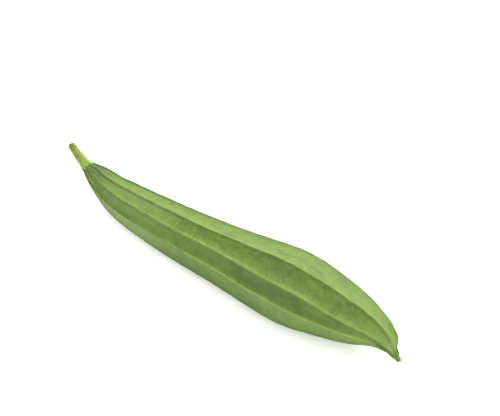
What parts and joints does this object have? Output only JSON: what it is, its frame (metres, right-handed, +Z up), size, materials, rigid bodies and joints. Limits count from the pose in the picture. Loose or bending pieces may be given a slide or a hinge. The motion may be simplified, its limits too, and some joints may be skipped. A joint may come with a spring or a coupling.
{
  "type": "ridge gourd",
  "caption": "Ridged club-shaped gourd lying on its side, with sharp lengthwise ridges, a cut stem and a dried flower rest at the tip.",
  "frame": {"origin": "bottom centre of the whole object's box, on the surface that the fruit lies on", "axes": "+X from the stem end towards the blossom tip, +Z up"},
  "size_m": [0.307, 0.053, 0.0514],
  "materials": {
    "rind": "waxy fresh green rind, satin, lighter along the ridge crests",
    "stem": "fibrous yellow-green stalk with an olive cut end",
    "dry_flower": "withered olive-brown papery flower rest"
  },
  "bodies": {
    "root": {"gourd": "rind", "stem": "stem", "flower_rest": "dry_flower"}
  },
  "joints": []
}
